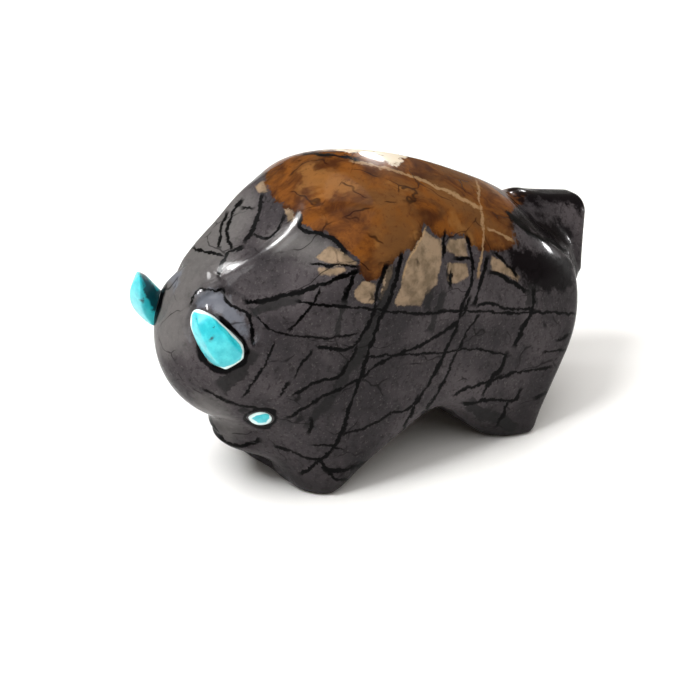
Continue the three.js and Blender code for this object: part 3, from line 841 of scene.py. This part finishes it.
class Surface:
    """A material built node by node, each socket given as a value or as another's output."""

    def __init__(self, name):
        self.material = bpy.data.materials.new(name)
        self.material.use_nodes = True
        self.tree = self.material.node_tree
        self.shader = self.tree.nodes["Principled BSDF"]

    def node(self, kind, inputs=(), **settings):
        node = self.tree.nodes.new(f"ShaderNode{kind}")
        for name, value in settings.items():
            setattr(node, name, value)
        for name, value in dict(inputs).items():
            self.join(node.inputs[name], value)
        return node

    def join(self, socket, value):
        if isinstance(value, bpy.types.NodeSocket):
            self.tree.links.new(value, socket)
        else:
            socket.default_value = value

    def set(self, **values):
        for name, value in values.items():
            self.join(self.shader.inputs[name.replace("_", " ")], value)

    def math(self, operation, first, second=0.0):
        return self.node("Math", {0: first, 1: second}, operation=operation).outputs[0]

    def plus(self, first, second):
        return self.math("ADD", first, second)

    def times(self, first, second):
        return self.math("MULTIPLY", first, second)

    def vector(self, operation, first, second):
        return self.node("VectorMath", {0: first, 1: second}, operation=operation).outputs[0]

    def scaled(self, vector, factor):
        return self.node("VectorMath", {0: vector, "Scale": factor}, operation="SCALE").outputs[0]

    def millimetres(self):
        return self.scaled(self.node("TexCoord").outputs["Object"], 1 / MM)

    def parts(self, vector):
        return self.node("SeparateXYZ", {0: vector}).outputs

    def field(self, name):
        return self.node("Attribute", attribute_name=name)

    def depth(self, name, ragged):
        """How deep a place lies in a region kept on the mesh, with a ragged edge."""
        return self.plus(self.field(name).outputs["Fac"], ragged)

    def noise(self, place, scale, detail, roughness=0.55, distortion=0.0, output="Fac"):
        inputs = {"Vector": place, "Scale": scale, "Detail": detail, "Roughness": roughness,
                  "Distortion": distortion}
        return self.node("TexNoise", inputs).outputs[output]

    def fade(self, value, low, high, to_low=0.0, to_high=1.0):
        inputs = {"Value": value, "From Min": low, "From Max": high, "To Min": to_low, "To Max": to_high}
        return self.node("MapRange", inputs, interpolation_type="SMOOTHSTEP").outputs[0]

    def mix(self, share, first, second):
        inputs = {0: share, 6: as_colour(first), 7: as_colour(second)}
        return self.node("Mix", inputs, data_type="RGBA").outputs[2]

    def bump(self, height, strength, distance, normal=None):
        inputs = {"Height": height, "Strength": strength, "Distance": distance}
        if normal is not None:
            inputs["Normal"] = normal
        return self.node("Bump", inputs).outputs[0]


def as_colour(tone):
    """Another node's output as it is, or a colour given as in a picture, 0 to 255."""
    if isinstance(tone, bpy.types.NodeSocket):
        return tone
    shares = [value / 255 for value in tone]
    return (*[s / 12.92 if s <= 0.04045 else ((s + 0.055) / 1.055) ** 2.4 for s in shares], 1)


def vein_mask(s, name, wander, breadth):
    """Where a vein family shows: close to its line, whose edges wander."""
    parts = s.parts(s.field(name).outputs["Vector"])
    away = s.math("ABSOLUTE", s.plus(parts[0], wander))
    edge = s.math("SUBTRACT", away, s.times(parts[1], breadth))
    return s.times(s.fade(edge, -0.06, 0.06, 1.0, 0.0), parts[2])


def any_vein(s, names, wander, breadth):
    shown = 0.0
    for name in names:
        shown = s.math("MAXIMUM", shown, vein_mask(s, name, wander, breadth))
    return shown


def grey_ground(s, place, fine, broad, speck):
    """Dark grey with lighter clouds and fine grains, lighter in places with painted sheen and darker at
    the feet with painted shade.
    """
    grey = s.mix(s.fade(broad, 0.35, 0.68), (48, 45, 47), (74, 69, 71))
    grey = s.mix(s.fade(speck, 0.48, 0.7, 0.0, 0.65), grey, (26, 23, 24))
    grey = s.mix(s.fade(fine, 0.55, 0.8, 0.0, 0.4), grey, (104, 99, 98))
    # Painted sheen: lighter grey where highlights and reflections fall
    painted_sheen = s.depth("painted_sheen_depth", s.fade(broad, 0.3, 0.7, -0.8, 0.8))
    grey = s.mix(s.fade(painted_sheen, -1.4, 1.2, 0.0, 0.35), grey, (130, 128, 125))
    # Painted shade: darker towards the floor
    height = s.parts(place)[2]
    return s.mix(s.fade(height, 0.0, FEET_SHADE_HEIGHT, 0.6, 0.0), grey, (28, 26, 27))


def minor_cracks(s, place):
    """Thin broken cracks over the whole stone."""
    bends = s.vector("SUBTRACT", s.noise(place, 0.3, 2.0, output="Color"), (0.5, 0.5, 0.5))
    bent = s.vector("ADD", place, s.scaled(bends, 3.0))
    inputs = {"Vector": s.vector("MULTIPLY", bent, (0.75, 1.0, 1.25)), "Scale": 0.2}
    away = s.node("TexVoronoi", inputs, feature="DISTANCE_TO_EDGE").outputs["Distance"]
    return s.times(s.fade(away, 0.004, 0.022, 1.0, 0.0), s.fade(s.noise(place, 0.35, 2.0), 0.46, 0.6))


def cream(s, coarse, speck):
    """Cream with a darker grain."""
    tan = s.mix(s.fade(coarse, 0.35, 0.65), (106, 91, 73), (140, 120, 98))
    return s.mix(s.fade(speck, 0.52, 0.7, 0.0, 0.45), tan, (88, 78, 66))


def brown_matrix(s, place, depth, coarse, broad, speck):
    """Rusty brown with broad clouds, tan blotches, dark specks and a dark broken rim."""
    clouds = s.noise(s.vector("MULTIPLY", place, (0.7, 1.0, 1.1)), 0.42, 5.0, 0.62, 0.6)
    rust = s.mix(s.fade(clouds, 0.34, 0.64), (64, 35, 17), (112, 66, 25))
    rust = s.mix(s.fade(broad, 0.42, 0.62, 0.0, 0.75), rust, (100, 68, 38))
    blotches = s.noise(place, 0.3, 3.0, 0.6, 0.4)
    rust = s.mix(s.fade(blotches, 0.56, 0.68, 0.0, 0.5), rust, (138, 95, 50))
    rust = s.mix(s.fade(speck, 0.52, 0.72, 0.0, 0.5), rust, (58, 30, 18))
    rim = s.times(s.fade(depth, 0.0, 0.9, 1.0, 0.0), s.fade(coarse, 0.42, 0.6))
    return s.mix(s.times(rim, 0.8), rust, (38, 20, 12))


def joint_outline(s, wander):
    """The dark joint round each inlay, wider beside the horns."""
    rim = s.depth("inlay_distance", s.times(wander, 0.8))
    joint = s.fade(s.depth("joint_depth", s.times(wander, 0.8)), -0.56, -0.4)
    beside_horn = s.times(joint, s.fade(rim, 0.9, 1.3, 1.0, 0.0))
    return s.math("MAXIMUM", beside_horn, s.fade(rim, 0.4, 0.58, 1.0, 0.0))


def stone_material(families):
    """Polished marble, with its veins under the names that the mesh keeps them by."""
    s = Surface("polished_stone")
    place = s.millimetres()
    coarse = s.noise(place, 0.9, 3.0)
    fine = s.noise(place, 4.5, 2.0)
    broad = s.noise(place, 0.16, 4.0, 0.6)
    speck = s.noise(place, 2.2, 5.0, 0.7)
    wander = s.plus(s.fade(coarse, 0.2, 0.8, -0.14, 0.14), s.fade(fine, 0.2, 0.8, -0.06, 0.06))
    breadth = s.fade(s.noise(place, 1.1, 2.0), 0.3, 0.7, 0.75, 1.7)
    ragged = s.plus(s.fade(coarse, 0.25, 0.75, -0.35, 0.35), s.fade(fine, 0.25, 0.75, -0.12, 0.12))

    # Regions with ragged edges
    cream_depth = s.depth("cream_depth", s.times(ragged, 0.35))
    ground = grey_ground(s, place, fine, broad, speck)
    colours = s.mix(s.fade(cream_depth, -0.06, 0.16), ground, cream(s, coarse, speck))
    brown_depth = s.depth("brown_depth", ragged)
    brown = brown_matrix(s, place, brown_depth, coarse, broad, speck)
    colours = s.mix(s.fade(brown_depth, -0.08, 0.14), colours, brown)
    # Painted reflection of bluish light on the pad
    painted_reflection = s.depth("painted_reflection_depth", ragged)
    colours = s.mix(s.fade(painted_reflection, -0.3, 0.4, 0.0, 0.7), colours, (104, 107, 116))
    dark = s.depth("dark_depth", s.times(ragged, 1.5))
    colours = s.mix(s.fade(dark, -0.35, 0.45, 0.0, 0.95), colours, (9, 6, 8))

    # Bands and veins, some of them painted shade, and the white crest with its painted highlight, with
    # the black on top
    charcoal = any_vein(s, families["band"], wander, breadth)
    colours = s.mix(s.times(charcoal, 0.75), colours, (30, 30, 30))
    pale = any_vein(s, families["pale"], wander, breadth)
    colours = s.mix(s.times(pale, 0.55), colours, (168, 138, 100))
    # White crest: pale stone with a painted highlight over it
    white_and_highlight = s.depth("white_and_highlight_depth", s.times(ragged, 0.6))
    colours = s.mix(s.fade(white_and_highlight, -0.1, 0.14, 0.0, 0.9), colours, (226, 214, 192))
    veins = any_vein(s, families["black"], wander, breadth)
    black = s.math("MAXIMUM", s.times(minor_cracks(s, place), 0.7), veins)
    colours = s.mix(black, colours, (2, 2, 2))
    colours = s.mix(joint_outline(s, wander), colours, (4, 3, 4))

    # A hard polish, duller on the black and slightly wavy, with a sharp edge at the shoulder
    dull = s.math("MAXIMUM", s.times(black, 0.6), s.fade(speck, 0.55, 0.8, 0.0, 0.3))
    waves = s.bump(s.noise(place, 0.5, 2.0), 0.35, WAVE_RELIEF)
    parts = s.parts(s.field("edge_veins_0").outputs["Vector"])
    crest = s.times(s.fade(s.math("ABSOLUTE", parts[0]), 0.0, EDGE_HALF_WIDTH, 1.0, 0.0), parts[2])
    sharp = s.bump(crest, 1.0, EDGE_RELIEF, waves)
    grains = s.bump(fine, 0.12, GRAIN_RELIEF, sharp)
    s.set(Base_Color=colours, Roughness=s.fade(dull, 0.0, 1.0, 0.22, 0.42), Normal=grains, IOR=1.5)
    s.set(Specular_IOR_Level=0.01, Coat_Weight=0.08, Coat_Roughness=0.06, Coat_IOR=1.45)
    return s.material


def turquoise_material():
    s = Surface("turquoise")
    place = s.millimetres()
    clouds = s.noise(place, 0.9, 4.0, 0.6)
    fine = s.noise(place, 6.0, 3.0)
    tone = s.mix(s.fade(clouds, 0.35, 0.65), (22, 176, 190), (62, 202, 210))
    flecks = s.fade(s.noise(place, 1.6, 3.0, 0.7), 0.68, 0.73)
    tone = s.mix(s.times(flecks, 0.85), tone, (12, 66, 74))
    tone = s.mix(s.fade(fine, 0.55, 0.75, 0.0, 0.35), tone, (24, 160, 176))
    # Painted highlight: a white rim along the edge of each inlay
    edge = s.depth("highlight_rim_depth", s.fade(clouds, 0.3, 0.7, -0.04, 0.04))
    rim = s.times(s.fade(edge, -0.9, -0.7, 0.0, 0.95), s.fade(edge, 0.09, 0.19, 1.0, 0.0))
    tone = s.mix(rim, tone, (222, 242, 240))
    # Dark matrix flecks, and painted shade over the far horn's inner facet
    matrix_and_shade = s.depth("matrix_and_shade_depth", s.fade(clouds, 0.3, 0.7, -0.2, 0.2))
    tone = s.mix(s.fade(matrix_and_shade, -0.15, 0.15, 0.0, 0.92), tone, (4, 42, 54))
    relief = s.bump(fine, 0.15, GRAIN_RELIEF)
    s.set(Base_Color=tone, Roughness=0.32, Normal=relief, Coat_Weight=0.25, Coat_Roughness=0.15)
    return s.material


def glue_material():
    s = Surface("glue")
    grain = s.noise(s.millimetres(), 5.0, 3.0)
    tone = s.mix(s.fade(grain, 0.4, 0.6), (8, 7, 8), (20, 18, 19))
    s.set(Base_Color=tone, Roughness=0.5, Normal=s.bump(grain, 0.2, GRAIN_RELIEF))
    return s.material


def floor_material():
    s = Surface("floor")
    tone = s.mix(s.noise(s.millimetres(), 0.02, 2.0), (246, 245, 243), (250, 250, 249))
    s.set(Base_Color=tone, Roughness=0.75)
    return s.material


# Light

# Turn from the camera's side and height, in degrees; distance and size, in metres; power, in watts
LIGHTS = {
    "key": (-52, 56, 0.5, 0.24, 2.5),
    "fill": (18, 58, 0.7, 0.7, 2.4),
    "rear_fill": (165, 72, 0.7, 0.4, 1.4),
}

# Lights that show in gloss alone
GLINTS = {
    "ridge_glint": (-110, 58, 0.5, 0.06, 5.2),
    "ridge_sheen": (-108, 57, 0.5, 0.14, 5.5),
    "brow_glint": (-88, 36, 0.5, 0.05, 1.7),
    "crest_glint": (166, 21, 0.5, 0.05, 0.9),
    "tail_glint": (124, 4, 0.5, 0.03, 0.35),
    "window_glint": (-42, 34, 0.5, 0.2, 1.7),
}
TINTS = {"window_glint": (0.8, 0.89, 1.0)}
ROOM_COLOUR = (1.0, 0.88, 0.74, 1)
ROOM_STRENGTH = 0.2


# Making the carving


def cover(piece, material):
    piece.data.materials.clear()
    piece.data.materials.append(material)


add_camera()
stone = stone_mesh()
inlays, pockets = {}, []
for kind, make in (("horn", horn), ("eye", eye)):
    left = make(f"left_{kind}_inlay")
    inlays[f"left_{kind}"] = left
    inlays[f"right_{kind}"] = mirrored(left, f"right_{kind}_inlay")
    pocket = make(f"left_{kind}_glue", GLUE_WIDTH)
    pockets += [pocket, mirrored(pocket, f"right_{kind}_glue")]

whole = in_scene("whole_stone", stone.data.copy())
for pocket in pockets:
    boolean(stone, pocket, "DIFFERENCE")
    boolean(pocket, whole, "INTERSECT")
bpy.data.objects.remove(whole)

places = in_picture(points_of(stone))
left_places = in_picture(on_left(points_of(stone)))
families = {}
for kind, veins, clearance in (
    ("black", BLACK_VEINS, VEIN_CLEARANCE),
    ("band", CHARCOAL_BANDS, BAND_CLEARANCE),
    ("pale", PALE_VEINS, VEIN_CLEARANCE),
    ("edge", EDGE_LINES, VEIN_CLEARANCE),
):
    families[kind] = []
    for number, family in enumerate(into_families(veins, clearance)):
        families[kind].append(f"{kind}_veins_{number}")
        keep(stone, families[kind][-1], vein_field(family, places))
for name, depth in (
    ("brown_depth", ring_depth(BROWN_RING, places)),
    ("cream_depth", deepest(CREAM_RINGS, places)),
    ("white_and_highlight_depth", ring_depth(WHITE_AND_HIGHLIGHT_RING, places)),
    ("dark_depth", deepest(DARK_RINGS, places)),
    ("painted_sheen_depth", deepest(PAINTED_SHEEN_RINGS, places)),
    ("painted_reflection_depth", ring_depth(PAINTED_REFLECTION_RING, left_places)),
    ("joint_depth", np.maximum(deepest(RIM_RINGS, left_places), ring_depth(FAR_JOINT_RING, places))),
    ("inlay_distance", inlay_distance(points_of(stone), inlays.values())),
):
    keep(stone, name, depth)

cover(stone, stone_material(families))
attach(stone, "root")
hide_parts("stone_body")

turquoise = turquoise_material()
for node, inlay in inlays.items():
    places = in_picture(points_of(inlay))
    keep(inlay, "matrix_and_shade_depth", deepest(MATRIX_AND_SHADE_RINGS, places))
    if node == "right_eye":
        places = in_picture(on_left(points_of(inlay)))
    keep(inlay, "highlight_rim_depth", deepest(RIM_RINGS, places))
    cover(inlay, turquoise)
    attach(inlay, "root")
    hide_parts(node)

glue = glue_material()
for pocket in pockets:
    cover(pocket, glue)
    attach(pocket, "root")

floor = object_of("floor", [(-1, -1, 0), (1, -1, 0), (1, 1, 0), (-1, 1, 0)], [(0, 1, 2, 3)])
cover(floor, floor_material())

for name, numbers in {**LIGHTS, **GLINTS}.items():
    add_light(name, *numbers)
world = bpy.data.worlds.new("studio")
world.use_nodes = True
room = world.node_tree.nodes["Background"]
room.inputs["Color"].default_value = ROOM_COLOUR
room.inputs["Strength"].default_value = ROOM_STRENGTH
scene.world = world
scene.view_settings.view_transform = "Standard"
